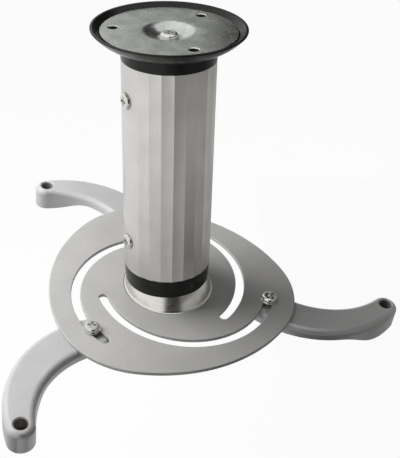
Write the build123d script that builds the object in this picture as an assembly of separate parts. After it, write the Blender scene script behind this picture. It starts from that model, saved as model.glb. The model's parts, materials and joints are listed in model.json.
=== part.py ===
"""Projector ceiling mount: ceiling plate, canopy, faceted column, clamped ball joint, spider plate and arms.

Millimetres, +Z up. The origin is the centre of the ceiling plate's upper face, on the column's axis.
"""
import os
from math import cos, radians, sin, sqrt, tan

from build123d import *

# Ceiling plate and canopy
ceiling_plate_d = 90.0
ceiling_plate_t = 2.0
ceiling_hole_count = 3
ceiling_hole_circle_d = 73.6
ceiling_hole_d = 6.6
ceiling_hole_start = 55.3
hole_edge_break = 0.5
dimple_d = 35.0
dimple_floor_d = 17.0
dimple_depth = 5.0
dimple_round = 10.0
canopy_overhang = 6.4
canopy_rim_height = 2.5
canopy_rim_band = 0.9
canopy_rim_wall = 1.6
canopy_wall = 1.9
canopy_ledge = 2.8
canopy_pocket_clearance = 0.3
canopy_flare_drop = 10.0
canopy_lip = 1.4
canopy_bulge = 1.6
canopy_collar_end = 18.2
canopy_edge_round = 0.4

# Column, an extruded tube with flat facets and a round land on each screwed side
column_d = 64.0
column_wall = 3.0
column_length = 160.0
facet_count = 24
plain_count = 3
screw_side_angle = 210.0
spot_face_depth = 0.9

# Inserts inside the column's ends and the screws through its sides
insert_clearance = 0.2
insert_wall = 3.2
insert_web = 7.0
insert_margin = 10.0
insert_recess_clearance = 4.0
upper_screw_offset = 25.0
lower_screw_offset = 25.0
side_screw_d = 5.0
side_head_d = 11.0
side_head_h = 3.2
spot_face_clearance = 0.6
screw_hole_clearance = 0.2
thread_clearance = 0.05

# Centre screw
centre_screw_d = 6.0
centre_head_d = 12.0
centre_head_h = 3.6

# Bottom ring
ring_height = 14.6
ring_taper = 1.0
ring_spigot = 6.0
ring_spigot_wall = 2.7
ring_lip_height = 3.8
ring_edge_round = 0.6
ring_gap = 8.6

# Ball joint, every spherical face concentric with the ball's centre
ball_r = 35.0
ball_wall = 3.0
ball_drop = 12.0
ball_gap = 0.3
ball_foot_d = 67.6
ball_foot_round = 1.6
ball_flange_d = 76.0
ball_flange_t = 2.0
max_tilt = 13.0
rest_tilt = 7.4
rest_tilt_heading = 43.2
tilt_clearance = 0.8
seat_bore_d = 27.0
cup_wall = 3.0
cup_d = 45.0
clamp_washer_edge = 2.0
clamp_cover = 1.4

# Pivot bolt and nut
pivot_d = 8.0
pivot_flats = 13.0
pivot_head_h = 5.3
pivot_nut_h = 6.5
pivot_tail = 1.0
spring_washer_t = 2.0
spring_washer_d = 14.4
spring_washer_split = 1.2

# Spider plate
plate_t = 2.5
plate_lobe_r = 66.0
plate_lobe_reach = 98.3
plate_side_reach = 89.9
plate_lobe_angle = -2.2
plate_edge_round = 0.8
plate_hole_clearance = 0.1
slot_w = 6.6
slot_edge_round = 0.6
slot_r = 65.7
slot_centre_offset = 13.5
slot_centre_angle = 15.9
slot_start_angle = 202.5
slot_end_angle = 352.5

# Arms, one casting used three times, each set back from its slot's end and turned to its own heading
arm_names = ("right", "back", "left")
arm_count = len(arm_names)
slot_rest_angle = {"right": 3.4, "back": 10.0, "left": 12.0}
arm_heading_angle = {"right": 6.0, "back": 152.5, "left": 247.0}
arm_reach = 94.4
arm_boss_r = 15.6
arm_tip_r = 9.6
arm_outer_r = 79.0
arm_inner_r = 61.5
arm_boss_t = 8.2
arm_tip_t = 17.8
arm_swell_start_share = 0.55
arm_swell_end_share = 0.95
arm_edge_round = 4.4
arm_wall = 3.2
arm_skin = 4.8
tip_counterbore_d = 10.4
tip_counterbore_depth = 11.0
tip_hole_d = 6.5

# Arm screws, washers and nuts
arm_screw_d = 5.9
arm_head_d = 11.2
arm_head_h = 3.4
arm_washer_d = 12.4
arm_washer_t = 1.0
arm_nut_flats = 10.0
arm_nut_h = 5.0
nut_pocket_clearance = 0.7
nut_chamfer_angle = 30.0
pivot_fit = 0.08
slide_gap = 0.05

# Pan heads: cross recess and rounding as shares of the head
recess_span_share = 0.58
recess_width_share = 0.17
recess_depth_share = 0.55
recess_taper_angle = 12.0
head_round_share = 0.6

# Heights and radii that follow from the sizes above
canopy_r = ceiling_plate_d / 2 + canopy_overhang
column_r = column_d / 2
bore_r = column_r - column_wall
column_top = -canopy_collar_end
column_bottom = column_top - column_length
ring_bottom = column_bottom - ring_height
ball_z = ring_bottom - ring_gap - ball_drop
insert_r = bore_r - insert_clearance
seat_r = ball_r + ball_gap
ball_inner_r = ball_r - ball_wall
cup_outer_r = ball_inner_r - ball_gap
cup_inner_r = cup_outer_r - cup_wall
clamp_r = cup_inner_r - ball_gap
ring_bore_r = bore_r - ring_spigot_wall
plate_bottom = ball_drop - plate_t
arm_top = plate_bottom - slide_gap
at_ball = Pos(0, 0, ball_z)
head_pose = at_ball * Rot(0, 0, rest_tilt_heading) * Rot(rest_tilt, 0, 0) * Rot(0, 0, -rest_tilt_heading)


def sphere_height(radius, distance):
    """Height above a sphere's centre where its surface stands at a distance from the axis."""
    return sqrt(radius**2 - distance**2)


def bolt_way(radius):
    """Radius of an axial hole in a spherical wall that clears the pivot bolt at full tilt."""
    clear_r = pivot_d / 2 + tilt_clearance
    tilt = radians(max_tilt)
    return clear_r * cos(tilt) + sphere_height(radius, clear_r) * sin(tilt)


def sphere_arc(radius, start_r, end_r):
    """Arc of a spherical face in the XZ plane, between two distances from the axis."""
    stops = (start_r, (start_r + end_r) / 2, end_r)
    return ThreePointArc(*[(distance, sphere_height(radius, distance)) for distance in stops])


def revolved(*edges):
    """Solid turned about Z from a closed profile drawn in the XZ plane."""
    return revolve(make_face(Plane.XZ * Wire(edges)), Axis.Z)


def chain(*points):
    """Straight edges through the points, in order."""
    return Polyline(*points).edges()


def tube(outer_r, inner_r, low, high):
    """Plain ring between two heights."""
    ring = Circle(outer_r) - Circle(inner_r)
    return extrude(Pos(0, 0, low) * ring, high - low)


def around(angle, radius=0.0, z=0.0):
    """Place at an angle about Z, at a distance from the axis, with local X pointing outwards."""
    return Rot(0, 0, angle) * Pos(radius, 0, z)


def cross_recess(head_d, head_h):
    """Tapered cross cut into the top of a pan head whose top lies at Z = 0."""
    arm = Rectangle(head_d * recess_span_share, head_d * recess_width_share)
    cross = arm + Rot(0, 0, 90) * arm
    return extrude(cross, -head_h * recess_depth_share, taper=recess_taper_angle)


def pan_screw(shank_d, head_d, head_h, length):
    """Pan head screw standing on Z = 0, shank downwards."""
    head = Cylinder(head_d / 2, head_h, align=(Align.CENTER, Align.CENTER, Align.MIN))
    head = fillet(head.edges().group_by(Axis.Z)[-1], head_h * head_round_share)
    shank = Cylinder(shank_d / 2, length, align=(Align.CENTER, Align.CENTER, Align.MAX))
    return head + shank - Pos(0, 0, head_h) * cross_recess(head_d, head_h)


def hexagon_prism(flats, bore_d, low, high):
    """Hexagon nut or head between two heights, chamfered, with a round bore where one is given."""
    shape = RegularPolygon(flats / 2, 6, major_radius=False)
    if bore_d:
        shape -= Circle(bore_d / 2)
    corner_r = flats / sqrt(3)
    flat_r = flats / 2
    drop = (corner_r - flat_r) * tan(radians(nut_chamfer_angle))
    blank = revolved(
        *chain(
            (0, low),
            (flat_r, low),
            (corner_r, low + drop),
            (corner_r, high - drop),
            (flat_r, high),
            (0, high),
            (0, low),
        )
    )
    return extrude(Pos(0, 0, low) * shape, high - low) & blank


def broken_hole(diameter, length):
    """Hole downwards from Z = 0, with its upper edge broken."""
    radius = diameter / 2
    down = (Align.CENTER, Align.CENTER, Align.MAX)
    edge = Cone(radius, radius + hole_edge_break, hole_edge_break, align=down)
    return Cylinder(radius, length, align=down) + edge


def dimpled(rim_r, hole_r, top):
    """Edges of one face of the ceiling plate, from its rim to its centre hole, with the dimple rounded in."""
    path = FilletPolyline(
        (rim_r, top),
        (dimple_d / 2, top),
        (dimple_floor_d / 2, top - dimple_depth),
        (hole_r, top - dimple_depth),
        radius=dimple_round,
    )
    return path.edges()


def ceiling_plate():
    """Pressed steel disc with a rounded dimple for the centre screw and holes for the ceiling screws."""
    rim_r = ceiling_plate_d / 2
    hole_r = centre_screw_d / 2 + screw_hole_clearance
    under = -ceiling_plate_t
    disc = revolved(
        *dimpled(rim_r, hole_r, 0),
        Line((hole_r, -dimple_depth), (hole_r, under - dimple_depth)),
        *dimpled(rim_r, hole_r, under),
        Line((rim_r, under), (rim_r, 0)),
    )
    for index in range(ceiling_hole_count):
        turn = ceiling_hole_start + index * 360 / ceiling_hole_count
        disc -= around(turn, ceiling_hole_circle_d / 2) * broken_hole(ceiling_hole_d, ceiling_plate_t * 2)
    return disc


def canopy():
    """Flared dish that covers the ceiling plate, with a collar that stands on the column's end."""
    rim_r = canopy_r
    band_low = canopy_rim_height - canopy_rim_band
    foot_r = column_r + canopy_lip
    flare_low = -canopy_flare_drop
    pocket_r = ceiling_plate_d / 2 + canopy_pocket_clearance
    ledge_z = -ceiling_plate_t
    ledge_r = pocket_r - canopy_ledge
    inner_low = flare_low + canopy_wall
    dish = revolved(
        SagittaArc((rim_r, band_low), (foot_r, flare_low), canopy_bulge),
        *chain(
            (foot_r, flare_low),
            (column_r, flare_low - canopy_lip / 2),
            (column_r, column_top),
            (bore_r, column_top),
            (bore_r, inner_low),
            (ledge_r, ledge_z - canopy_wall),
            (ledge_r, ledge_z),
            (pocket_r, ledge_z),
            (pocket_r, -ceiling_plate_t / 2),
            (rim_r - canopy_rim_wall, canopy_rim_height),
            (rim_r, canopy_rim_height),
            (rim_r, band_low),
        ),
    )
    return fillet(dish.edges().group_by(Axis.Z)[-1], canopy_edge_round)


def column_profile():
    """Cross-section of the extruded column: facets, with arcs where the screws stand."""
    pitch = 360 / facet_count
    land = sin(radians(plain_count * pitch / 2))
    edges = []
    for index in range(facet_count):
        angle = index * pitch
        turns = (angle - pitch / 2, angle, angle + pitch / 2)
        start, crest, end = [Vector(column_r, 0).rotate(Axis.Z, turn) for turn in turns]
        if abs(sin(radians(angle - screw_side_angle))) < land:
            edges.append(ThreePointArc(start, crest, end))
        else:
            edges.append(Line(start, end))
    return make_face(Wire(edges)) - Circle(bore_r)


def side_screw_places():
    """Angle and height of each screw that holds an insert in the column, upper pair first."""
    heights = (column_top - upper_screw_offset, column_bottom + lower_screw_offset)
    return [[(screw_side_angle + half_turn, z) for half_turn in (0, 180)] for z in heights]


def radial_cylinder(angle, z, diameter, start_r, end_r):
    """Cylinder lying along a radius, between two distances from the axis."""
    bar = Cylinder(diameter / 2, end_r - start_r, align=(Align.CENTER, Align.CENTER, Align.MIN))
    return around(angle, start_r, z) * Rot(0, 90, 0) * bar


def column():
    """Faceted tube with a spot face and a clearance hole under each side screw."""
    body = extrude(Pos(0, 0, column_bottom) * column_profile(), column_length)
    seat = column_r - spot_face_depth
    hole_d = side_screw_d + 2 * screw_hole_clearance
    for pair in side_screw_places():
        for angle, z in pair:
            body -= radial_cylinder(angle, z, hole_d, bore_r / 2, column_d)
            body -= radial_cylinder(angle, z, side_head_d + spot_face_clearance, seat, column_d)
    return body


def side_screws(pair):
    """Two pan head screws that hold one insert, from opposite sides."""
    seat = column_r - spot_face_depth
    length = seat - (insert_r - insert_wall)
    screw = pan_screw(side_screw_d, side_head_d, side_head_h, length)
    return [around(angle, seat, z) * Rot(0, 90, 0) * screw for angle, z in pair]


def threaded_holes(body, pair):
    """The insert with a hole for each of its side screws."""
    hole_d = side_screw_d + 2 * thread_clearance
    for angle, z in pair:
        body -= radial_cylinder(angle, z, hole_d, insert_r / 2, column_d)
    return body


def top_insert(pair):
    """Turned cup in the column's top that carries the ceiling plate on its rim and holds the centre screw."""
    hole_r = centre_screw_d / 2 + thread_clearance
    rim_z = -ceiling_plate_t
    floor_z = rim_z - dimple_depth
    recess_r = dimple_d / 2 + insert_recess_clearance
    low = column_top - upper_screw_offset - insert_margin
    body = revolved(
        *chain(
            (hole_r, floor_z),
            (recess_r, floor_z),
            (recess_r, rim_z),
            (insert_r, rim_z),
            (insert_r, low),
            (insert_r - insert_wall, low),
            (insert_r - insert_wall, floor_z - insert_web),
            (hole_r, floor_z - insert_web),
            (hole_r, floor_z),
        )
    )
    return threaded_holes(body, pair)


def centre_screw():
    """Screw that holds the ceiling plate to the top insert, its head sunk in the dimple."""
    length = ceiling_plate_t + insert_web + centre_screw_d
    return Pos(0, 0, -dimple_depth) * pan_screw(centre_screw_d, centre_head_d, centre_head_h, length)


def bottom_ring():
    """Ring under the column, with a spigot in the bore and a spherical lip that runs close to the ball."""
    low = ring_bottom - ball_z
    high = column_bottom - ball_z
    shoulder = low + ring_lip_height
    lip_low_r = sphere_height(seat_r, low)
    lip_high_r = sphere_height(seat_r, shoulder)
    spigot_r = bore_r - thread_clearance
    body = revolved(
        sphere_arc(seat_r, lip_low_r, lip_high_r),
        *chain(
            (lip_high_r, shoulder),
            (ring_bore_r, shoulder),
            (ring_bore_r, high + ring_spigot),
            (spigot_r, high + ring_spigot),
            (spigot_r, high),
            (column_r, high),
            (column_r - ring_taper, low),
            (lip_low_r, low),
        ),
    )
    lower_edge = body.edges().group_by(Axis.Z)[0].sort_by(SortBy.RADIUS)[-1]
    return at_ball * fillet(lower_edge, ring_edge_round)


def seat_top():
    """Height of the friction seat's top above the ball's centre."""
    return seat_r + ball_gap


def friction_ring():
    """Nylon ring between the bottom insert and the ball."""
    low = ring_bottom - ball_z + ring_lip_height + ball_gap
    outer_r = ring_bore_r - ball_gap
    hole_r = seat_bore_d / 2
    low_r = sphere_height(seat_r, low)
    top = seat_top()
    body = revolved(
        sphere_arc(seat_r, hole_r, low_r),
        *chain(
            (low_r, low),
            (outer_r, low),
            (outer_r, top),
            (hole_r, top),
            (hole_r, sphere_height(seat_r, hole_r)),
        ),
    )
    return at_ball * body


def web_low():
    """Height of the bottom insert's underside above the ball's centre."""
    return seat_top() + ball_gap


def bottom_insert(pair):
    """Turned cup in the column's bottom that carries the pivot bolt and holds the ring up."""
    hole_r = pivot_d / 2 + screw_hole_clearance
    boss_r = ring_bore_r - thread_clearance
    low = web_low()
    shoulder = column_bottom - ball_z + ring_spigot
    high = column_bottom - ball_z + lower_screw_offset + insert_margin
    body = revolved(
        *chain(
            (hole_r, low),
            (boss_r, low),
            (boss_r, shoulder),
            (insert_r, shoulder),
            (insert_r, high),
            (insert_r - insert_wall, high),
            (insert_r - insert_wall, low + insert_web),
            (hole_r, low + insert_web),
            (hole_r, low),
        )
    )
    return threaded_holes(at_ball * body, pair)


def clamp_edge_r():
    """Radius of the clamp washer, which covers the cup's hole at full tilt."""
    hole_r = bolt_way(cup_outer_r)
    tilt = radians(max_tilt)
    reach = hole_r * cos(tilt) + sphere_height(clamp_r, hole_r) * sin(tilt)
    return reach + clamp_cover


def clamp_low():
    """Height of the clamp washer's flat underside above the ball's centre."""
    return sphere_height(clamp_r, clamp_edge_r()) - clamp_washer_edge


def clamp_washer():
    """Domed washer on the pivot bolt that presses the cup against the ball."""
    hole_r = pivot_d / 2 + screw_hole_clearance
    edge_r = clamp_edge_r()
    top = (hole_r, sphere_height(clamp_r, hole_r))
    edge = (edge_r, sphere_height(clamp_r, edge_r))
    body = revolved(
        sphere_arc(clamp_r, hole_r, edge_r),
        *chain(edge, (edge_r, clamp_low()), (hole_r, clamp_low()), top),
    )
    return at_ball * body


def spring_washer():
    """Split washer between the clamp washer and the pivot nut."""
    high = clamp_low()
    ring = tube(spring_washer_d / 2, pivot_d / 2 + screw_hole_clearance, high - spring_washer_t, high)
    gap = Pos(spring_washer_d / 2, 0, high) * Box(spring_washer_d, spring_washer_split, spring_washer_t * 4)
    return at_ball * (ring - gap)


def nut_high():
    """Height of the pivot nut's top above the ball's centre."""
    return clamp_low() - spring_washer_t


def pivot_nut():
    """Hexagon nut that clamps the ball joint, reached from under the plate."""
    high = nut_high()
    return at_ball * hexagon_prism(pivot_flats, pivot_d + 2 * thread_clearance, high - pivot_nut_h, high)


def pivot_bolt():
    """Hexagon bolt through the bottom insert and the ball joint."""
    seat = web_low() + insert_web
    end = nut_high() - pivot_nut_h - pivot_tail
    shank = extrude(Pos(0, 0, end) * Circle(pivot_d / 2), seat - end)
    return at_ball * (shank + hexagon_prism(pivot_flats, 0, seat, seat + pivot_head_h))


def ball_cup():
    """Spherical slider inside the ball, which tilts with it about the clamp washer."""
    hole_r = bolt_way(cup_outer_r)
    edge_r = cup_d / 2
    outer = sphere_arc(cup_outer_r, hole_r, edge_r)
    inner = sphere_arc(cup_inner_r, edge_r, hole_r)
    body = revolved(outer, Line(outer @ 1, inner @ 0), inner, Line(inner @ 1, outer @ 0))
    return head_pose * body


def dome():
    """Turned hollow ball, its flared foot through the spider plate and its flange under it."""
    hole_r = bolt_way(ball_r)
    neck_z = ball_drop + ball_foot_round
    neck_r = sphere_height(ball_r, neck_z)
    foot_r = ball_foot_d / 2
    flange_r = ball_flange_d / 2
    mouth_z = plate_bottom - ball_flange_t
    mouth_r = sphere_height(ball_inner_r, mouth_z)
    outer = sphere_arc(ball_r, hole_r, neck_r)
    inner = sphere_arc(ball_inner_r, mouth_r, hole_r)
    body = revolved(
        outer,
        TangentArc((neck_r, neck_z), (foot_r, ball_drop), tangent=(neck_z, -neck_r)),
        *chain(
            (foot_r, ball_drop),
            (foot_r, plate_bottom),
            (flange_r, plate_bottom),
            (flange_r, mouth_z),
            (mouth_r, mouth_z),
        ),
        inner,
        Line(inner @ 1, outer @ 0),
    )
    return head_pose * body


def plate_outline():
    """Rounded triangle: a small arc at each lobe, joined by tangent arcs of larger radius."""
    lobe_offset = plate_lobe_reach - plate_lobe_r
    step = plate_side_reach - plate_lobe_r
    side_offset = (lobe_offset**2 - step**2) / (2 * step - lobe_offset)
    edges = []
    for index in range(arm_count):
        turn = plate_lobe_angle + index * 360 / arm_count
        lobe = Vector(lobe_offset, 0).rotate(Axis.Z, turn)
        before = Vector(side_offset, 0).rotate(Axis.Z, turn + 120)
        after = Vector(side_offset, 0).rotate(Axis.Z, turn - 120)
        start = lobe + (lobe - before).normalized() * plate_lobe_r
        end = lobe + (lobe - after).normalized() * plate_lobe_r
        crest = Vector(plate_lobe_reach, 0).rotate(Axis.Z, turn)
        side_mid = Vector(plate_side_reach, 0).rotate(Axis.Z, turn + 60)
        next_start = start.rotate(Axis.Z, 360 / arm_count)
        edges.append(ThreePointArc(start, crest, end))
        edges.append(ThreePointArc(end, side_mid, next_start))
    return make_face(Wire(edges))


def slot_point(angle, turn):
    """Point on a slot's centre line, by its angle about the slot's own centre."""
    centre = Vector(slot_centre_offset, 0).rotate(Axis.Z, slot_centre_angle)
    return (centre + Vector(slot_r, 0).rotate(Axis.Z, angle)).rotate(Axis.Z, turn)


def spider_plate():
    """Sheet steel plate with a centre hole for the ball and a curved slot for each arm."""
    body = extrude(plate_outline(), plate_t)
    body = fillet(body.edges().group_by(Axis.Z)[-1], plate_edge_round)
    body -= Cylinder(ball_foot_d / 2 + plate_hole_clearance, plate_t * 4)
    middle = (slot_start_angle + slot_end_angle) / 2
    for index in range(arm_count):
        turn = index * 360 / arm_count
        stops = (slot_start_angle, middle, slot_end_angle)
        path = ThreePointArc(*[slot_point(angle, turn) for angle in stops])
        body -= extrude(SlotArc(path, slot_w), plate_t)
    openings = body.faces().sort_by(Axis.Z)[-1].inner_wires()
    body = fillet(openings.edges(), slot_edge_round)
    return head_pose * Pos(0, 0, plate_bottom) * body


def apex(left, right, base):
    """Corner of a triangle that stands on X, from the lengths of its three sides."""
    x = (left**2 - right**2 + base**2) / (2 * base)
    return Vector(x, sqrt(left**2 - x**2))


def arm_outline():
    """Plan of an arm: a boss at the origin and a tip on X, joined by two arcs that bow towards -Y."""
    boss = Vector(0, 0)
    tip = Vector(arm_reach, 0)
    outer = apex(arm_outer_r - arm_boss_r, arm_outer_r - arm_tip_r, arm_reach)
    inner = apex(arm_inner_r + arm_boss_r, arm_inner_r + arm_tip_r, arm_reach)
    boss_out = (boss - outer).normalized()
    tip_out = (tip - outer).normalized()
    boss_in = (inner - boss).normalized()
    tip_in = (inner - tip).normalized()
    outer_mid = outer + (boss_out + tip_out).normalized() * arm_outer_r
    inner_mid = inner - (boss_in + tip_in).normalized() * arm_inner_r
    tip_far = tip + tip_out.rotate(Axis.Z, 90) * arm_tip_r
    boss_far = boss + boss_out.rotate(Axis.Z, -90) * arm_boss_r
    points = [
        boss + boss_out * arm_boss_r,
        tip + tip_out * arm_tip_r,
        tip + tip_in * arm_tip_r,
        boss + boss_in * arm_boss_r,
    ]
    edges = [
        ThreePointArc(points[0], outer_mid, points[1]),
        ThreePointArc(points[1], tip_far, points[2]),
        ThreePointArc(points[2], inner_mid, points[3]),
        ThreePointArc(points[3], boss_far, points[0]),
    ]
    return make_face(Wire(edges))


def arm_casting():
    """Arm with rounded top edges, a foot that deepens towards the tip and a cored underside; top at Z = 0."""
    start = arm_reach * arm_swell_start_share
    end = arm_reach * arm_swell_end_share
    rear = -arm_boss_r * 2
    front = arm_reach + arm_tip_r * 2
    side = Wire(
        [
            *chain((rear, -arm_boss_t), (rear, 0), (front, 0), (front, -arm_tip_t), (end, -arm_tip_t)),
            Spline((end, -arm_tip_t), (start, -arm_boss_t), tangents=[(-1, 0), (-1, 0)]),
            Line((start, -arm_boss_t), (rear, -arm_boss_t)),
        ]
    )
    profile = extrude(make_face(Plane.XZ * side), arm_outer_r, both=True)
    outline = arm_outline()
    body = extrude(outline, -arm_tip_t) & profile
    body = fillet(body.edges().group_by(Axis.Z)[-1], arm_edge_round)
    core = offset(outline, -arm_wall)
    core -= Circle(arm_boss_r)
    core -= Pos(arm_reach, 0) * Circle(arm_tip_r)
    body -= extrude(Pos(0, 0, -arm_skin) * core, -arm_tip_t)
    shank_r = arm_screw_d / 2 + pivot_fit
    body -= Cylinder(shank_r, arm_tip_t * 4)
    body -= extrude(Pos(0, 0, -arm_boss_t) * Circle(nut_pocket_r()), arm_nut_h)
    tip = Pos(arm_reach, 0, 0)
    body -= tip * Cylinder(tip_hole_d / 2, arm_tip_t * 4)
    body -= tip * broken_hole(tip_counterbore_d, tip_counterbore_depth)
    return body


def nut_pocket_r():
    """Radius of the round pocket that clears an arm nut's corners."""
    return arm_nut_flats / sqrt(3) + nut_pocket_clearance


def arm_screw():
    """Pan head screw through washer, slot and arm; the plate's top is Z = 0."""
    length = arm_washer_t + plate_t + slide_gap + arm_boss_t
    return Pos(0, 0, arm_washer_t + slide_gap) * pan_screw(arm_screw_d, arm_head_d, arm_head_h, length)


def arm_washer():
    """Plain washer under an arm screw's head; the plate's top is Z = 0."""
    return tube(arm_washer_d / 2, arm_screw_d / 2 + thread_clearance, slide_gap, slide_gap + arm_washer_t)


def arm_nut():
    """Nut in the pocket under an arm's boss; the plate's top is Z = 0."""
    seat = arm_top - ball_drop - arm_boss_t + arm_nut_h - slide_gap
    return hexagon_prism(arm_nut_flats, arm_screw_d + 2 * thread_clearance, seat - arm_nut_h, seat)


def parts():
    """Every node of the mount by name."""
    upper_pair, lower_pair = side_screw_places()
    nodes = {
        "ceiling_plate": ceiling_plate(),
        "canopy": canopy(),
        "centre_screw": centre_screw(),
        "top_insert": top_insert(upper_pair),
        "column": column(),
        "upper_side_screws": side_screws(upper_pair),
        "lower_side_screws": side_screws(lower_pair),
        "bottom_insert": bottom_insert(lower_pair),
        "bottom_ring": bottom_ring(),
        "pivot_bolt": pivot_bolt(),
        "clamp_washer": clamp_washer(),
        "spring_washer": spring_washer(),
        "pivot_nut": pivot_nut(),
        "friction_ring": friction_ring(),
        "ball_cup": ball_cup(),
        "dome": dome(),
        "spider_plate": spider_plate(),
    }
    casting = arm_casting()
    hardware = {"arm_screw": arm_screw(), "arm_washer": arm_washer(), "arm_nut": arm_nut()}
    for index, side in enumerate(arm_names):
        place = slot_point(slot_end_angle - slot_rest_angle[side], index * 360 / arm_count)
        stand = head_pose * Pos(place.X, place.Y, 0)
        for name, piece in hardware.items():
            nodes[f"{name}_{side}"] = stand * Pos(0, 0, ball_drop) * piece
        nodes[f"arm_{side}"] = stand * Pos(0, 0, arm_top) * Rot(0, 0, arm_heading_angle[side]) * casting
    return nodes


def main():
    os.makedirs("parts", exist_ok=True)
    for name, shape in parts().items():
        solids = shape if isinstance(shape, list) else [shape]
        export_step(Compound(children=[s for whole in solids for s in whole.solids()]), f"parts/{name}.step")


main()
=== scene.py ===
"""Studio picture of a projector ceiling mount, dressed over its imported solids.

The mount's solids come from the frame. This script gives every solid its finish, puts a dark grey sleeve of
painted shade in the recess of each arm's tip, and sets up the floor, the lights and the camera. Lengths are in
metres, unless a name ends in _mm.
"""
import functools
import json
import logging
import math
from dataclasses import dataclass, field
from enum import Enum
from typing import Any

import bmesh
import bpy
from mathutils import Euler, Matrix, Vector


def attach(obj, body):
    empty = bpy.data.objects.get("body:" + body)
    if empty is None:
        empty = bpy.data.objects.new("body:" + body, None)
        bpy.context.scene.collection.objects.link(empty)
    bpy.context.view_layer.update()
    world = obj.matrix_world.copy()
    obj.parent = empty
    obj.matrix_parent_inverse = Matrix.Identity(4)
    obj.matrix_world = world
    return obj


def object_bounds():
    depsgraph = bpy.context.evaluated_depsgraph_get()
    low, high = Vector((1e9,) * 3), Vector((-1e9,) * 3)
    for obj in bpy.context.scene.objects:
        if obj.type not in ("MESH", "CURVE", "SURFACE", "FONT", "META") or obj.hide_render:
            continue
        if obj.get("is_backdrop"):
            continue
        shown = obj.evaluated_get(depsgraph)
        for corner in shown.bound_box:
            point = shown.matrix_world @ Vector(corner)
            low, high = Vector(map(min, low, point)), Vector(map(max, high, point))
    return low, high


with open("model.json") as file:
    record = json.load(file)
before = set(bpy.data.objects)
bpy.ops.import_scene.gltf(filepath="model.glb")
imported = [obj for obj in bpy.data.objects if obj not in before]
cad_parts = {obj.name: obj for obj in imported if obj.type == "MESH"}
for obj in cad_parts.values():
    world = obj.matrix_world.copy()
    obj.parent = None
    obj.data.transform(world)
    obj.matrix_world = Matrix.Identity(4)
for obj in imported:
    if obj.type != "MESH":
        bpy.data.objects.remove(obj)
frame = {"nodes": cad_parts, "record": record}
LOG = logging.getLogger("ceiling_mount")
Tree = bpy.types.NodeTree
Socket = bpy.types.NodeSocket
Pair = tuple[float, float]
Triple = tuple[float, float, float]

MM = 0.001
WHITE = "#FFFFFF"
BEVEL_SAMPLES = 8
# The ball's place and the head's tilt at rest, as in the solids
BALL_DROP_MM = 213.4
TILT_HEADING_DEG = 43.2
TILT_DEG = 7.4
BALL_CENTRE = Vector((0.0, 0.0, -BALL_DROP_MM)) * MM
TILT_HEADING = Matrix.Rotation(math.radians(TILT_HEADING_DEG), 3, "Z")
HEAD_TURN = TILT_HEADING @ Matrix.Rotation(math.radians(TILT_DEG), 3, "X") @ TILT_HEADING.transposed()
# Detail of a noise in octaves, from a plain swell to a busy cloud
SWELL, STREAK, CLOUD, BUSY_CLOUD = 1.0, 2.0, 3.0, 5.0


class Side(Enum):
    """The three arms, named by where they stand."""

    RIGHT = "right"
    BACK = "back"
    LEFT = "left"


class Tone(Enum):
    """Greys of the studio's sheets, from the darkest to the palest."""

    DARK = "#3A3A39"
    MID = "#7C7C7A"
    GREY = "#A6A6A4"
    FLOOR = "#C8C8C8"
    LIGHT = "#CCCCCA"
    LOW = "#E6E6E4"
    PALE = "#F4F4F2"


class Facing(Enum):
    """How a studio sheet is turned, as angles about X, Y and Z."""

    UP = (0.0, 0.0, 0.0)
    SIDEWAYS = (0.0, -math.pi / 2, 0.0)
    FORWARDS = (math.pi / 2, 0.0, 0.0)


def linear(hex_colour: str) -> tuple[float, float, float, float]:
    """Turn an sRGB hex value into linear RGBA.

    Args:
        hex_colour: Six hex digits with a leading hash.

    Returns:
        Linear red, green and blue, with alpha 1.
    """
    channels = [int(hex_colour[i : i + 2], 16) / 255 for i in (1, 3, 5)]
    red, green, blue = [c / 12.92 if c <= 0.04045 else ((c + 0.055) / 1.055) ** 2.4 for c in channels]
    return (red, green, blue, 1.0)


def per_mm(size_mm: float) -> float:
    """Texture scale, in Object coordinates of metres, of a pattern about that many millimetres across."""
    return 1.0 / (size_mm * MM)


def add_node(
    tree: Tree, kind: str, settings: dict[str, Any] | None = None, links: dict[str, Socket] | None = None
) -> bpy.types.Node:
    """Add one shader node with its settings and links.

    Args:
        tree: The material's or world's node tree.
        kind: The node's type, after the ShaderNode prefix.
        settings: Values by name. A lower-case name is the node's own property, and a number or any other
            name is an input.
        links: Sockets to join, by the name or number of the input that each feeds.

    Returns:
        The new node.
    """
    node = tree.nodes.new("ShaderNode" + kind)
    for name, value in (settings or {}).items():
        if name.islower():
            setattr(node, name, value)
        else:
            node.inputs[int(name) if name.isdigit() else name].default_value = value
    for name, socket in (links or {}).items():
        tree.links.new(socket, node.inputs[int(name) if name.isdigit() else name])
    return node


@dataclass(frozen=True)
class Pattern:
    """What a finish's pattern gives its shader."""

    blend: Socket
    height: Socket
    depth_mm: float


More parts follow.
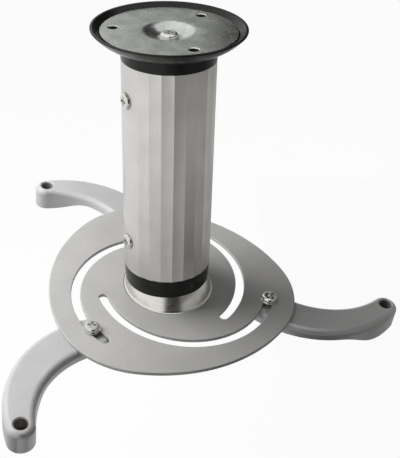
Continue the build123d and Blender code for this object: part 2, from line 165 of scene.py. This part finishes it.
@dataclass(frozen=True)
class Finish:
    """A real surface: two tones, share of metal, range of gloss, broken edges and shine."""

    name: str
    tone: str
    shade: str
    metallic: float
    smooth: float
    rough: float
    soften_mm: float = 0.2
    shine: float = 0.5

    @functools.cache
    def material(self) -> bpy.types.Material:
        """Build the material, once for all the solids that share it.

        Returns:
            The material, with its pattern from dress().
        """
        made = bpy.data.materials.new(self.name)
        made.use_nodes = True
        tree = made.node_tree
        shader = tree.nodes["Principled BSDF"]
        shader.inputs["Metallic"].default_value = self.metallic
        shader.inputs["Specular IOR Level"].default_value = self.shine
        pattern = self.dress(tree, add_node(tree, "TexCoord").outputs["Object"])
        # The Mix node's colour sockets go by number, because their names repeat
        colours = {"data_type": "RGBA", "6": linear(self.shade), "7": linear(self.tone)}
        tones = add_node(tree, "Mix", colours, {"0": pattern.blend})
        ends = {"To Min": self.rough, "To Max": self.smooth}
        gloss = add_node(tree, "MapRange", ends, {"Value": pattern.blend})
        edges = add_node(tree, "Bevel", {"samples": BEVEL_SAMPLES, "Radius": self.soften_mm * MM})
        relief = add_node(
            tree,
            "Bump",
            {"Distance": pattern.depth_mm * MM},
            {"Height": pattern.height, "Normal": edges.outputs["Normal"]},
        )
        tree.links.new(tones.outputs[2], shader.inputs["Base Color"])
        tree.links.new(gloss.outputs["Result"], shader.inputs["Roughness"])
        tree.links.new(relief.outputs["Normal"], shader.inputs["Normal"])
        return made

    def dress(self, tree: Tree, place: Socket) -> Pattern:
        """Lay the surface's pattern.

        Args:
            tree: The material's node tree.
            place: Object coordinates.

        Returns:
            How far each spot lies from shade to tone, and the relief.
        """
        raise NotImplementedError


@dataclass(frozen=True)
class CloudedFinish(Finish):
    """A surface whose tone drifts in clouds, under a finer pattern of its own."""

    cloud_mm: float = 18.0
    cloud_octaves: float = CLOUD
    fine_share: float = 0.6
    darkest: float = 0.5
    brightest: float = 1.1

    def cloud(self, tree: Tree, place: Socket, fine: Socket) -> Socket:
        """Lay clouds under the finer pattern.

        Args:
            tree: The material's node tree.
            place: Object coordinates.
            fine: The finer pattern, from nought to one.

        Returns:
            How far each spot lies from shade to tone.
        """
        drift = {"Scale": per_mm(self.cloud_mm), "Detail": self.cloud_octaves}
        clouds = add_node(tree, "TexNoise", drift, {"Vector": place})
        both = add_node(
            tree,
            "Math",
            {"operation": "MULTIPLY_ADD", "1": self.fine_share},
            {"0": fine, "2": clouds.outputs["Fac"]},
        )
        span = {"From Min": self.darkest, "From Max": self.brightest}
        return add_node(tree, "MapRange", span, {"Value": both.outputs["Value"]}).outputs["Result"]


@dataclass(frozen=True)
class SilverPaint(CloudedFinish):
    """Sprayed silver paint: metal flakes give it a fine sparkle, the spray a soft orange peel."""

    cloud_mm: float = 30.0
    fine_share: float = 0.5
    darkest: float = 0.35
    # Real flakes are too fine to show, so they are drawn about ten times as coarse
    flake_mm: float = 0.6
    peel_mm: float = 2.4
    peel_depth_mm: float = 0.008

    def dress(self, tree: Tree, place: Socket) -> Pattern:
        """Lay flakes over clouds, and orange peel.

        Args:
            tree: The material's node tree.
            place: Object coordinates.

        Returns:
            The paint's pattern.
        """
        flakes = add_node(tree, "TexVoronoi", {"Scale": per_mm(self.flake_mm)}, {"Vector": place})
        grey = add_node(tree, "RGBToBW", links={"Color": flakes.outputs["Color"]})
        blend = self.cloud(tree, place, grey.outputs["Val"])
        peel = add_node(tree, "TexNoise", {"Scale": per_mm(self.peel_mm), "Detail": SWELL}, {"Vector": place})
        return Pattern(blend, peel.outputs["Fac"], self.peel_depth_mm)


@dataclass(frozen=True)
class WorkedMetal(CloudedFinish):
    """Metal with fine lines along the way it was extruded, or round the way it was turned."""

    # Real tool lines are too fine to show, so they are drawn about three times as coarse
    line_mm: float = 0.35
    line_depth_mm: float = 0.004
    stretch: Triple = (1.0, 1.0, 50.0)
    centre: Triple = (0.0, 0.0, 0.0)
    lean: Triple = (0.0, 0.0, 0.0)

    def dress(self, tree: Tree, place: Socket) -> Pattern:
        """Lay long tool lines over a slow change of tone.

        Args:
            tree: The material's node tree.
            place: Object coordinates.

        Returns:
            The metal's pattern.
        """
        along = add_node(
            tree,
            "Mapping",
            {"vector_type": "TEXTURE", "Location": self.centre, "Rotation": self.lean, "Scale": self.stretch},
            {"Vector": place},
        )
        drawn = {"Vector": along.outputs["Vector"]}
        lines = add_node(tree, "TexNoise", {"Scale": per_mm(self.line_mm), "Detail": STREAK}, drawn)
        blend = self.cloud(tree, place, lines.outputs["Fac"])
        return Pattern(blend, lines.outputs["Fac"], self.line_depth_mm)


@dataclass(frozen=True)
class HollowFacets(WorkedMetal):
    """Extruded metal with facets hollowed by a hair, so that each goes from dark to light across."""

    facets: int = 24
    hollow_mm: float = 0.16
    land_facets: int = 3
    land_heading_deg: float = 210.0

    def dress(self, tree: Tree, place: Socket) -> Pattern:
        """Lay the tool lines, and hollow every facet but those of the two round lands.

        Args:
            tree: The material's node tree.
            place: Object coordinates.

        Returns:
            The extrusion's pattern.
        """
        drawn = super().dress(tree, place)
        # The radial gradient runs once round from the half turn, in parts of a turn
        turn = add_node(tree, "TexGradient", {"gradient_type": "RADIAL"}, {"Vector": place}).outputs["Fac"]
        # Each count is at one half in the middle of a facet, or of a land
        across = self.count_round(tree, turn, float(self.facets), 0.5)
        offset = add_node(tree, "Math", {"operation": "MULTIPLY_ADD", "1": 2.0, "2": -1.0}, {"0": across})
        aside = offset.outputs["Value"]
        bowl = add_node(tree, "Math", {"operation": "MULTIPLY"}, {"0": aside, "1": aside})
        half_turns = self.count_round(tree, turn, 2.0, 0.5 - self.land_heading_deg / 180)
        reach = self.land_facets / self.facets
        land = add_node(tree, "Math", {"operation": "COMPARE", "1": 0.5, "2": reach}, {"0": half_turns})
        forms = {"0": bowl.outputs["Value"], "1": land.outputs["Value"]}
        crest = add_node(tree, "Math", {"operation": "MAXIMUM"}, forms)
        relief = add_node(
            tree,
            "Math",
            {"operation": "MULTIPLY_ADD", "1": self.line_depth_mm / self.hollow_mm},
            {"0": drawn.height, "2": crest.outputs["Value"]},
        )
        return Pattern(drawn.blend, relief.outputs["Value"], self.hollow_mm)

    def count_round(self, tree: Tree, turn: Socket, times: float, start: float) -> Socket:
        """Count from nought to one, again and again round the axis.

        Args:
            tree: The material's node tree.
            turn: The angle, in parts of a turn.
            times: How many counts a turn has.
            start: Where the first count starts.

        Returns:
            The count.
        """
        count = add_node(tree, "Math", {"operation": "MULTIPLY_ADD", "1": times, "2": start}, {"0": turn})
        return add_node(tree, "Math", {"operation": "FRACT"}, {"0": count.outputs["Value"]}).outputs["Value"]


@dataclass(frozen=True)
class MouldedPlastic(Finish):
    """Injection-moulded plastic: an even colour, a fine eroded grain and slight flow marks in the gloss."""

    # The real grain is too fine to show, so it is drawn about three times as coarse
    grain_mm: float = 0.5
    grain_depth_mm: float = 0.003
    flow_mm: float = 22.0
    flow_swirl: float = 0.8
    darkest: float = 0.3
    brightest: float = 0.7

    def dress(self, tree: Tree, place: Socket) -> Pattern:
        """Lay flow marks and grain.

        Args:
            tree: The material's node tree.
            place: Object coordinates.

        Returns:
            The plastic's pattern.
        """
        swirl = {"Scale": per_mm(self.flow_mm), "Detail": CLOUD, "Distortion": self.flow_swirl}
        flow = add_node(tree, "TexNoise", swirl, {"Vector": place})
        span = {"From Min": self.darkest, "From Max": self.brightest}
        blend = add_node(tree, "MapRange", span, {"Value": flow.outputs["Fac"]})
        erosion = {"Scale": per_mm(self.grain_mm), "Detail": STREAK}
        grain = add_node(tree, "TexNoise", erosion, {"Vector": place})
        return Pattern(blend.outputs["Result"], grain.outputs["Fac"], self.grain_depth_mm)


@dataclass(frozen=True)
class PlatedSheet(CloudedFinish):
    """Zinc-plated pressed sheet: cloudy passivation, small crystals and a shallow roller texture."""

    cloud_mm: float = 13.0
    cloud_octaves: float = BUSY_CLOUD
    fine_share: float = 0.08
    darkest: float = 0.35
    brightest: float = 0.7
    crystal_mm: float = 2.0
    roller_mm: float = 0.8
    roller_depth_mm: float = 0.001

    def dress(self, tree: Tree, place: Socket) -> Pattern:
        """Lay crystals over clouds, and the roller's texture.

        Args:
            tree: The material's node tree.
            place: Object coordinates.

        Returns:
            The plating's pattern.
        """
        crystals = add_node(tree, "TexVoronoi", {"Scale": per_mm(self.crystal_mm)}, {"Vector": place})
        grey = add_node(tree, "RGBToBW", links={"Color": crystals.outputs["Color"]})
        blend = self.cloud(tree, place, grey.outputs["Val"])
        press = {"Scale": per_mm(self.roller_mm), "Detail": STREAK}
        roller = add_node(tree, "TexNoise", press, {"Vector": place})
        return Pattern(blend, roller.outputs["Fac"], self.roller_depth_mm)


ALL_ROUND = (1.0, 1.0, 1.0)
TURNED_ROUND = (50.0, 50.0, 1.0)
# Silver paint over sheet steel: even grey with a faint sparkle
PAINTED_STEEL = SilverPaint(
    "silver_painted_sheet_steel", "#B8B7B5", "#A8A7A5", metallic=0.3, smooth=0.36, rough=0.46
)
# The same paint on a casting: the rougher skin under it shows as a wider orange peel
PAINTED_CASTING = SilverPaint(
    "silver_painted_die_casting",
    "#BBBBBB",
    "#ABABAB",
    metallic=0.3,
    smooth=0.28,
    rough=0.4,
    peel_mm=3.6,
    peel_depth_mm=0.02,
)
# Satin anodised extrusion: soft reflections, die lines along the tube and a change of tone across each facet
ANODISED = HollowFacets(
    "satin_anodised_aluminium_extrusion",
    "#DEDCD9",
    "#D2D0CD",
    metallic=1.0,
    smooth=0.34,
    rough=0.44,
    soften_mm=0.3,
)
# Turned and lightly polished steel: lathe lines round the ball draw each reflection out upwards
POLISHED = WorkedMetal(
    "turned_and_polished_steel",
    "#E2E0DB",
    "#D5D3CE",
    metallic=1.0,
    smooth=0.2,
    rough=0.28,
    line_depth_mm=0.01,
    stretch=TURNED_ROUND,
    centre=tuple(BALL_CENTRE),
    lean=tuple(HEAD_TURN.to_euler()),
)
# Nickel-plated screw steel: bright, with sharp light and dark reflections
NICKEL = WorkedMetal(
    "nickel_plated_screw_steel",
    "#E4E3DF",
    "#D0CFCB",
    metallic=1.0,
    smooth=0.1,
    rough=0.2,
    line_depth_mm=0.002,
    stretch=ALL_ROUND,
)
# Turned aluminium: tool lines round the axis
TURNED = WorkedMetal(
    "turned_aluminium", "#C2C3C4", "#AEAFB0", metallic=1.0, smooth=0.28, rough=0.4, stretch=TURNED_ROUND
)
# Zinc-plated sheet: cloudy grey with a trace of green, and soft reflections
ZINC = PlatedSheet(
    "zinc_plated_pressed_steel", "#DFE2DF", "#B4B9B5", metallic=1.0, smooth=0.22, rough=0.36, soften_mm=0.3
)
# Satin black plastic: a deep black with broad soft highlights
BLACK_ABS = MouldedPlastic(
    "black_satin_moulded_abs",
    "#151513",
    "#0E0E0C",
    metallic=0.0,
    smooth=0.24,
    rough=0.32,
    soften_mm=0.4,
    shine=0.3,
)
# Painted shade: the same plastic in dark grey, for the sleeves that darken the tips' recesses as their shade
# would
RECESS_SHADE_GREY = MouldedPlastic(
    "recess_shade_grey_abs", "#86817D", "#75706C", metallic=0.0, smooth=0.3, rough=0.4, soften_mm=0.1
)
# Natural nylon: a warm white with a waxy sheen
NYLON = MouldedPlastic("natural_moulded_nylon", "#D9D5C7", "#CBC6B6", metallic=0.0, smooth=0.4, rough=0.5)


def dress_nodes(finish: Finish, *nodes: str) -> None:
    """Put one finish on solids of the frame.

    Args:
        finish: The surface that they get.
        nodes: The solids' names.
    """
    material = finish.material()
    for node in nodes:
        for slot in frame["nodes"][node].material_slots:
            slot.material = material
        LOG.info("%s: %s", node, finish.name)


@dataclass
class CeilingFixing:
    """The pressed plate on the ceiling, the dish that covers it and the screw that joins it to the column."""

    sheet: Finish = ZINC
    dish: Finish = BLACK_ABS
    screw: Finish = NICKEL
    insert: Finish = TURNED

    def build(self) -> None:
        """Give each solid its finish."""
        dress_nodes(self.sheet, "ceiling_plate")
        dress_nodes(self.dish, "canopy")
        dress_nodes(self.screw, "centre_screw")
        dress_nodes(self.insert, "top_insert")


@dataclass
class Column:
    """The faceted tube, its side screws and the black ring under it."""

    tube: Finish = ANODISED
    screws: Finish = NICKEL
    ring: Finish = BLACK_ABS
    insert: Finish = TURNED

    def build(self) -> None:
        """Give each solid its finish."""
        dress_nodes(self.tube, "column")
        dress_nodes(self.screws, "upper_side_screws", "lower_side_screws")
        dress_nodes(self.ring, "bottom_ring")
        dress_nodes(self.insert, "bottom_insert")


@dataclass
class BallJoint:
    """The polished ball and the clamp inside it."""

    ball: Finish = POLISHED
    clamp: Finish = ZINC
    bolt: Finish = NICKEL
    seat: Finish = NYLON

    def build(self) -> None:
        """Give each solid its finish."""
        dress_nodes(self.ball, "dome")
        dress_nodes(self.seat, "friction_ring")
        dress_nodes(self.clamp, "ball_cup", "clamp_washer")
        dress_nodes(self.bolt, "spring_washer", "pivot_nut", "pivot_bolt")


@dataclass
class TipShadeSleeve:
    """Thin dark grey sleeve with a floor in the recess of an arm's tip: painted shade for the depth of the
    recess.
    """

    recess_depth_mm: float = 11.0
    outer_r_mm: float = 5.16
    inner_r_mm: float = 4.7
    hole_r_mm: float = 3.3
    floor_mm: float = 0.5
    below_top_mm: float = 0.7
    weld_mm: float = 0.001
    steps: int = 48

    def section(self, foot_mm: float) -> list[Vector]:
        """Corners of the liner's half section.

        Args:
            foot_mm: Height of the recess's floor.

        Returns:
            The corners in the XZ plane, in order.
        """
        top_mm = foot_mm + self.recess_depth_mm - self.below_top_mm
        inside_mm = foot_mm + self.floor_mm
        corners = (
            (self.hole_r_mm, foot_mm),
            (self.outer_r_mm, foot_mm),
            (self.outer_r_mm, top_mm),
            (self.inner_r_mm, top_mm),
            (self.inner_r_mm, inside_mm),
            (self.hole_r_mm, inside_mm),
        )
        return [Vector((r, 0.0, z)) * MM for r, z in corners]

    def build(self, side: Side, material: bpy.types.Material) -> None:
        """Turn the sleeve of painted shade in its recess.

        Args:
            side: The arm that it sits in.
            material: The sleeve's material.
        """
        name = f"projector_hole_{side.value}"
        hole = next(mount for mount in frame["record"]["mounts"] if mount["name"] == name)
        upward = -Vector(hole["axis"])
        shape = bmesh.new()
        corners = [shape.verts.new(corner) for corner in self.section(hole["dims"]["length_mm"] / 2)]
        ring = [shape.edges.new(pair) for pair in zip(corners, corners[1:] + corners[:1])]
        bmesh.ops.spin(
            shape,
            geom=corners + ring,
            cent=(0.0, 0.0, 0.0),
            axis=(0.0, 0.0, 1.0),
            angle=math.tau,
            steps=self.steps,
            use_merge=True,
        )
        bmesh.ops.remove_doubles(shape, verts=shape.verts, dist=self.weld_mm * MM)
        bmesh.ops.recalc_face_normals(shape, faces=shape.faces)
        bmesh.ops.rotate(shape, verts=shape.verts, matrix=upward.to_track_quat("Z", "Y").to_matrix())
        bmesh.ops.translate(shape, verts=shape.verts, vec=Vector(hole["pos_m"]))
        mesh = bpy.data.meshes.new(f"tip_shade_sleeve_{side.value}")
        shape.to_mesh(mesh)
        shape.free()
        mesh.materials.append(material)
        shade_sleeve = bpy.data.objects.new(mesh.name, mesh)
        bpy.context.scene.collection.objects.link(shade_sleeve)
        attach(shade_sleeve, f"reach_{side.value}")
        LOG.info("%s: %s", shade_sleeve.name, material.name)


@dataclass
class Spider:
    """The slotted plate and its three arms with their screws, and dark sleeves of painted shade in the arms'
    tips.
    """

    plate: Finish = PAINTED_STEEL
    arms: Finish = PAINTED_CASTING
    screws: Finish = NICKEL
    # Painted shade: the grey of the sleeves that darken the tips' recesses
    recess_shade: Finish = RECESS_SHADE_GREY
    shade_sleeve: TipShadeSleeve = field(default_factory=TipShadeSleeve)

    def build(self) -> None:
        """Give each solid its finish, and put the sleeves of painted shade in the tips."""
        dress_nodes(self.plate, "spider_plate")
        dress_nodes(self.arms, *[f"arm_{side.value}" for side in Side])
        pieces = ("arm_screw", "arm_washer", "arm_nut")
        dress_nodes(self.screws, *[f"{piece}_{side.value}" for piece in pieces for side in Side])
        # Painted shade: a dark grey sleeve darkens the recess in each tip
        recess_shade = self.recess_shade.material()
        for side in Side:
            self.shade_sleeve.build(side, recess_shade)


@dataclass(frozen=True)
class Lamp:
    """A soft square studio lamp."""

    name: str
    stand: Triple
    width: float
    watts: float

    def place(self, aim: Triple) -> None:
        """Set the lamp up.

        Args:
            aim: The point that it faces.
        """
        data = bpy.data.lights.new(self.name, "AREA")
        data.shape = "SQUARE"
        data.size = self.width
        data.energy = self.watts
        lamp = bpy.data.objects.new(self.name, data)
        # Kept out of reflections, because its image would clip the flat plates to white
        lamp.visible_glossy = False
        lamp.location = self.stand
        lamp.rotation_euler = (Vector(aim) - Vector(self.stand)).to_track_quat("-Z", "Y").to_euler()
        bpy.context.scene.collection.objects.link(lamp)


@dataclass(frozen=True)
class Sheet:
    """A flat sheet of the studio: the floor, or a flag that shades the mount and shows in its metal."""

    name: str
    middle: Triple
    facing: Facing
    size: Pair
    tone: Tone
    shown: bool = False
    roughness: float = 0.9

    def place(self) -> bpy.types.Material:
        """Stand the sheet up and mark it as the stage.

        Returns:
            The sheet's material.
        """
        shape = bmesh.new()
        # A square metre, stretched to its size
        bmesh.ops.create_grid(shape, x_segments=1, y_segments=1, size=0.5)
        bmesh.ops.scale(shape, verts=shape.verts, vec=(*self.size, 1.0))
        bmesh.ops.rotate(shape, verts=shape.verts, matrix=Euler(self.facing.value).to_matrix())
        bmesh.ops.translate(shape, verts=shape.verts, vec=self.middle)
        mesh = bpy.data.meshes.new(self.name)
        shape.to_mesh(mesh)
        shape.free()
        sheet = bpy.data.objects.new(self.name, mesh)
        sheet.visible_camera = self.shown
        bpy.context.scene.collection.objects.link(sheet)
        sheet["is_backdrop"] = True
        made = bpy.data.materials.new(self.name)
        made.use_nodes = True
        shader = made.node_tree.nodes["Principled BSDF"]
        shader.inputs["Base Color"].default_value = linear(self.tone.value)
        shader.inputs["Roughness"].default_value = self.roughness
        mesh.materials.append(made)
        LOG.info("%s: stage", self.name)
        return made


# A near key lamp on the left, so that the light falls off to the right, and a weaker one behind it, higher up
LAMPS = (
    Lamp("key", (-0.4, 0.02, 0.16), width=0.36, watts=4.8),
    Lamp("top", (-0.3, 0.2, 0.42), width=0.16, watts=1.2),
)
# Flags that darken what the metal shows at the right, behind and in front, and the light from below the arms
FLAGS = (
    Sheet("grey_flag_right", (0.28, 0.1, 0.08), Facing.SIDEWAYS, (0.42, 1.0), Tone.MID),
    Sheet("pale_flag_right", (0.28, 0.1, -0.24), Facing.SIDEWAYS, (0.22, 1.0), Tone.LIGHT),
    Sheet("dark_flag_back", (0.3, 0.45, 0.36), Facing.FORWARDS, (0.5, 0.68), Tone.DARK),
    Sheet("pale_flag_back", (-0.02, 0.46, 0.21), Facing.FORWARDS, (0.16, 0.38), Tone.LIGHT),
    Sheet("grey_flag_back", (-0.02, 0.45, 0.07), Facing.FORWARDS, (0.16, 0.17), Tone.GREY),
    Sheet("grey_flag_left", (-0.2, -0.15, -0.31), Facing.UP, (0.12, 0.24), Tone.GREY),
    Sheet("grey_flag_arm", (0.18, -0.15, -0.31), Facing.UP, (0.22, 0.16), Tone.DARK),
    Sheet("dark_flag_low", (0.045, -0.23, -0.31), Facing.UP, (0.17, 0.08), Tone.DARK),
    Sheet("dark_flag_front", (0.33, -0.85, 0.28), Facing.FORWARDS, (0.8, 1.26), Tone.DARK),
)
# Strips on the floor that grade what the column's facets show: name, middle, size and tone
STRIPS = (
    ("grey_flag_low", (0.52, -0.47), (0.64, 0.76), Tone.LOW),
    ("pale_flag_low", (-0.02, -0.4), (0.12, 0.44), Tone.PALE),
    ("pale_flag_left", (-0.2, -0.4), (0.11, 0.48), Tone.PALE),
    ("grey_flag_foot", (0.19, 0.2), (0.17, 0.5), Tone.GREY),
)


@dataclass
class Studio:
    """Pale floor, white surroundings, soft lamps on the left, grey flags round the mount, and the camera."""

    floor_drop: float = 0.12
    floor_size: float = 16.0
    floor_white: float = 0.96
    strip_lift: float = 0.002
    ambient: float = 0.13
    aim: Triple = (-0.03, -0.03, -0.15)
    lamps: tuple[Lamp, ...] = LAMPS
    flags: tuple[Sheet, ...] = FLAGS
    strips: tuple[tuple[str, Pair, Pair, Tone], ...] = STRIPS
    focal_px: float = 886.4
    frame_px: int = 400
    sensor_mm: float = 36.0
    near_clip: float = 0.01
    eye_mm: Triple = (7.83, -552.1, 200.16)
    right: Triple = (0.99953, -0.01133, 0.02848)
    down: Triple = (0.01791, -0.53805, -0.84272)

    def stand_camera(self) -> None:
        """Stand the camera where the photograph was taken from."""
        data = bpy.data.cameras.new("camera")
        data.sensor_fit = "HORIZONTAL"
        data.sensor_width = self.sensor_mm
        data.lens = self.focal_px / self.frame_px * self.sensor_mm
        data.clip_start = self.near_clip
        camera = bpy.data.objects.new("camera", data)
        right, down = Vector(self.right), Vector(self.down)
        turn = Matrix((right, -down, -right.cross(down))).transposed().to_4x4()
        camera.matrix_world = Matrix.Translation(Vector(self.eye_mm) * MM) @ turn
        bpy.context.scene.collection.objects.link(camera)
        bpy.context.scene.camera = camera

    def looked_at(self, tree: Tree) -> Socket:
        """Tell the rays that show a surface to the eye, straight or by reflection, from those that light it.

        Args:
            tree: The node tree of the surface or the world.

        Returns:
            One for a ray of the camera, a reflection or a clear material, and nought for the rest.
        """
        path = add_node(tree, "LightPath")
        mirrored = {"0": path.outputs["Is Glossy Ray"], "1": path.outputs["Is Transmission Ray"]}
        shine = add_node(tree, "Math", {"operation": "MAXIMUM"}, mirrored)
        seen = {"0": path.outputs["Is Camera Ray"], "1": shine.outputs["Value"]}
        return add_node(tree, "Math", {"operation": "MAXIMUM"}, seen).outputs["Value"]

    def floor_height(self) -> float:
        """Height of the floor, below the mount's lowest point."""
        low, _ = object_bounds()
        return low.z - self.floor_drop

    def lay_floor(self) -> None:
        """Lay a pale floor under the mount that shows white and keeps a faint shadow."""
        middle = (0.0, 0.0, self.floor_height())
        size = (self.floor_size, self.floor_size)
        paper = Sheet("pale_studio_paper", middle, Facing.UP, size, Tone.FLOOR, shown=True).place()
        tree = paper.node_tree
        lit = tree.nodes["Principled BSDF"]
        glow = add_node(tree, "Emission", {"Strength": 1.0})
        white = {"operation": "MULTIPLY", "1": self.floor_white}
        share = add_node(tree, "Math", white, {"0": self.looked_at(tree)})
        both = add_node(
            tree,
            "MixShader",
            links={"0": share.outputs["Value"], "1": lit.outputs["BSDF"], "2": glow.outputs["Emission"]},
        )
        tree.links.new(both.outputs["Shader"], tree.nodes["Material Output"].inputs["Surface"])

    def stand_flags(self) -> None:
        """Stand the flags and lay the strips, which the camera doesn't see."""
        for flag in self.flags:
            flag.place()
        ground = self.floor_height() + self.strip_lift
        for name, middle, size, tone in self.strips:
            Sheet(name, (*middle, ground), Facing.UP, size, tone).place()

    def surround(self) -> None:
        """Set white surroundings for the eye and for reflections, and a dimmer even light on the mount."""
        world = bpy.data.worlds.new("studio")
        bpy.context.scene.world = world
        world.use_nodes = True
        tree = world.node_tree
        lit = tree.nodes["Background"]
        lit.inputs["Color"].default_value = linear(WHITE)
        lit.inputs["Strength"].default_value = self.ambient
        white = add_node(tree, "Background", {"Color": linear(WHITE), "Strength": 1.0})
        both = add_node(
            tree,
            "MixShader",
            links={"0": self.looked_at(tree), "1": lit.outputs["Background"], "2": white.outputs["Background"]},
        )
        tree.links.new(both.outputs["Shader"], tree.nodes["World Output"].inputs["Surface"])

    def build(self) -> None:
        """Set up the whole studio."""
        self.lay_floor()
        self.stand_flags()
        self.surround()
        for lamp in self.lamps:
            lamp.place(self.aim)
        self.stand_camera()
        bpy.context.scene.view_settings.view_transform = "Standard"


def main() -> None:
    """Dress the mount and set up the studio."""
    logging.basicConfig(level=logging.INFO, format="%(message)s")
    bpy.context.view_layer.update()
    for assembly in (CeilingFixing(), Column(), BallJoint(), Spider(), Studio()):
        assembly.build()


if __name__ == "__main__":
    main()
